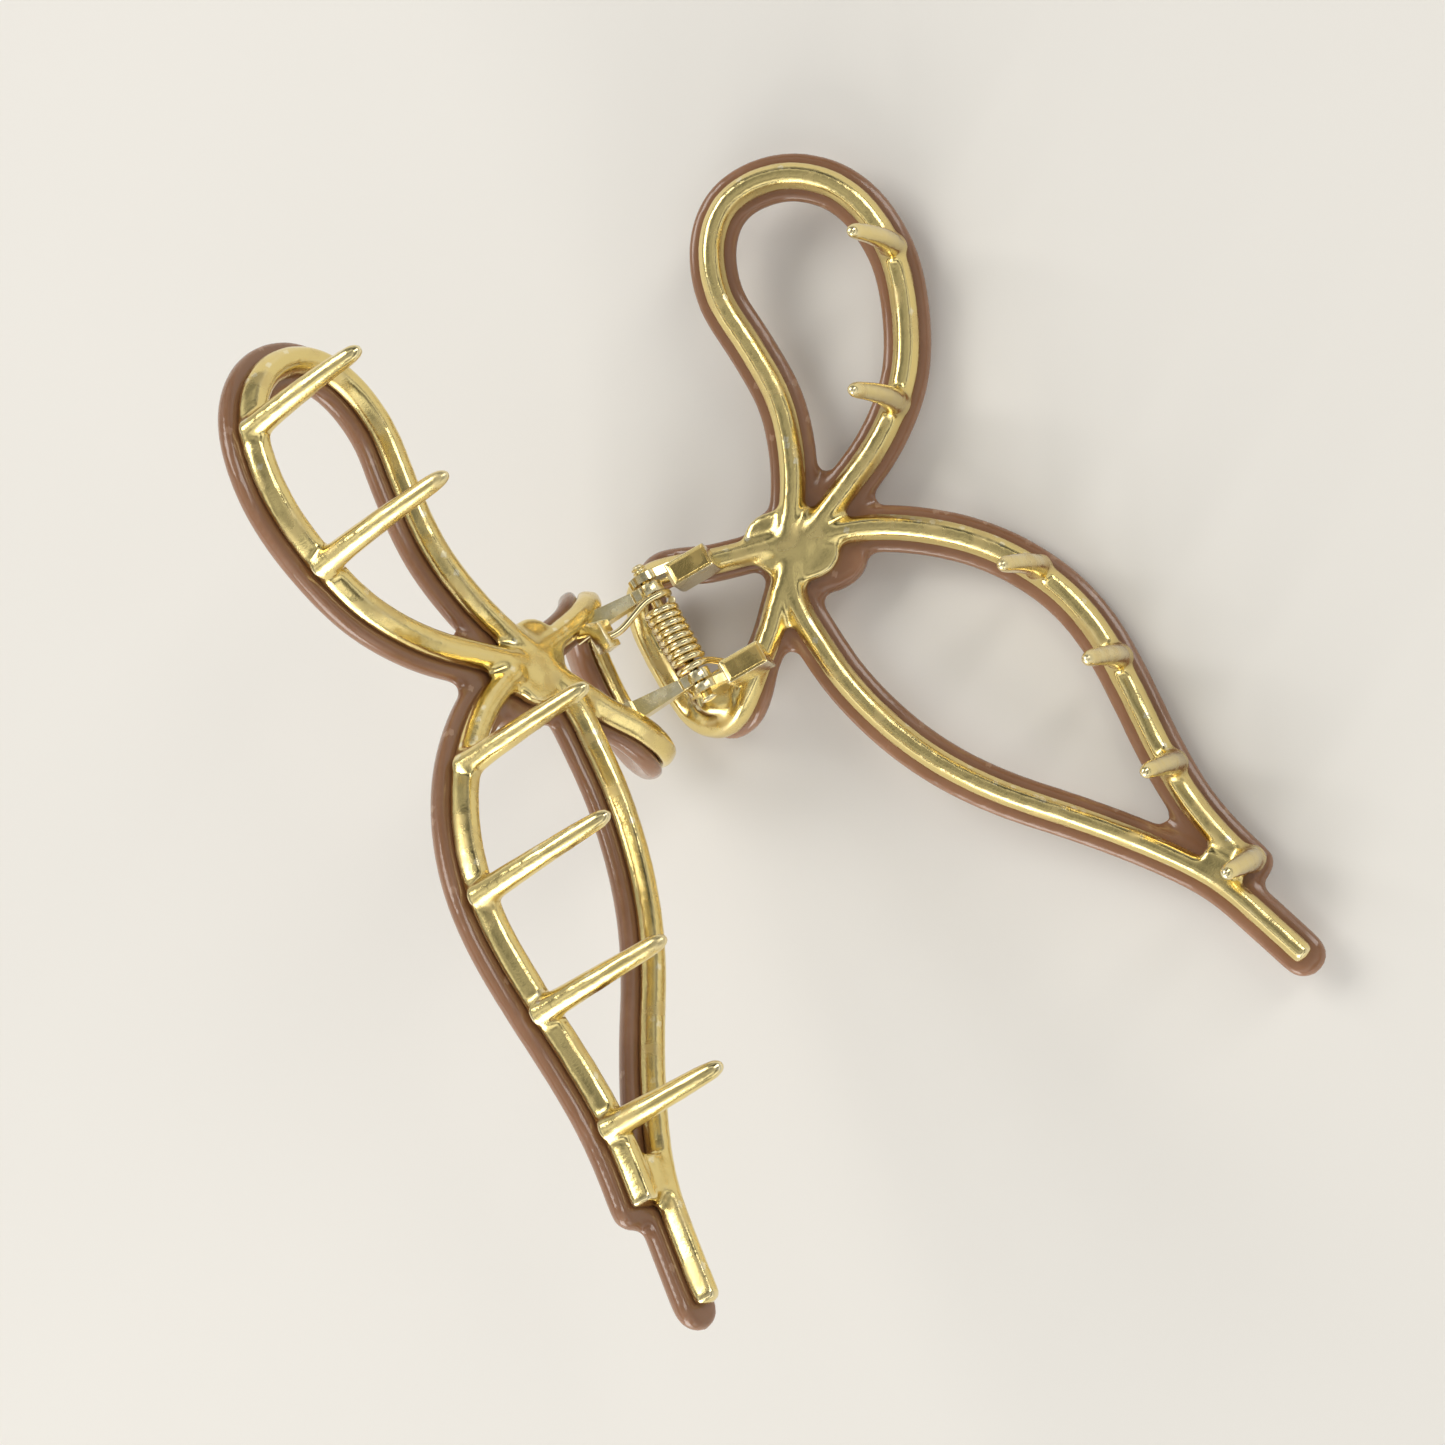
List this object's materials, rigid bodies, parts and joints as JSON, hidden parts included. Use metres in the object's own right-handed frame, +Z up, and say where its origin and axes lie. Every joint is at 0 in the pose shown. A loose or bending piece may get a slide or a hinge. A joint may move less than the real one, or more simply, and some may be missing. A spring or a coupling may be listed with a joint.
{
  "type": "claw clip",
  "caption": "Large sprung hair claw clip: two mirrored open-work jaws shaped like a bow, gold-plated cast frames with curved teeth, brown moulded covers.",
  "frame": {"origin": "centre of the bounding box in plan, at the lowest point, with the clip fully open and lying on the back of its right jaw", "axes": "+Y along the hinge pin from the tail end toward the small loops, +Z up out of the lying jaw, +X from the hinge toward the lying jaw's teeth"},
  "size_m": [0.0758, 0.1274, 0.0683],
  "materials": {
    "gold_casting": "polished pale gold plating over a die casting",
    "pin_steel": "gold plated, ribbed at one end",
    "spring_steel": "gold plated spring wire",
    "cover_resin": "glossy mocha brown, slightly translucent edges"
  },
  "bodies": {
    "right_half": {"right_small_loop": "gold_casting", "right_leaf_tooth_bar": "gold_casting", "right_leaf_back_bar": "gold_casting", "right_leaf_tip_web": "gold_casting", "right_hub": "gold_casting", "right_handle": "gold_casting", "right_hinge_blocks": "gold_casting", "right_small_loop_teeth": "gold_casting", "right_leaf_teeth": "gold_casting", "right_cover_small_loop": "cover_resin", "right_cover_leaf_tooth_side": "cover_resin", "right_cover_leaf_back_side": "cover_resin", "right_cover_hub": "cover_resin", "right_cover_handle": "cover_resin", "hinge_pin": "pin_steel", "spring_coil": "spring_steel", "spring_leg_right": "spring_steel"},
    "left_half": {"left_small_loop": "gold_casting", "left_leaf_tooth_bar": "gold_casting", "left_leaf_back_bar": "gold_casting", "left_leaf_tip_web": "gold_casting", "left_hub": "gold_casting", "left_handle": "gold_casting", "left_hinge_arms": "gold_casting", "left_spring_hook": "gold_casting", "left_small_loop_teeth": "gold_casting", "left_leaf_teeth": "gold_casting", "left_cover_small_loop": "cover_resin", "left_cover_leaf_tooth_side": "cover_resin", "left_cover_leaf_back_side": "cover_resin", "left_cover_hub": "cover_resin", "left_cover_handle": "cover_resin", "spring_leg_left": "spring_steel"}
  },
  "joints": [
    {"name": "jaw_hinge", "type": "hinge", "parent": "right_half", "child": "left_half", "pos_m": [-0.0118, 0.01452, 0.02082], "axis": [0, 1, 0], "range_deg": [0, 104], "stiffness_Nm_per_rad": 0.03, "springref_deg": 169.88}
  ]
}
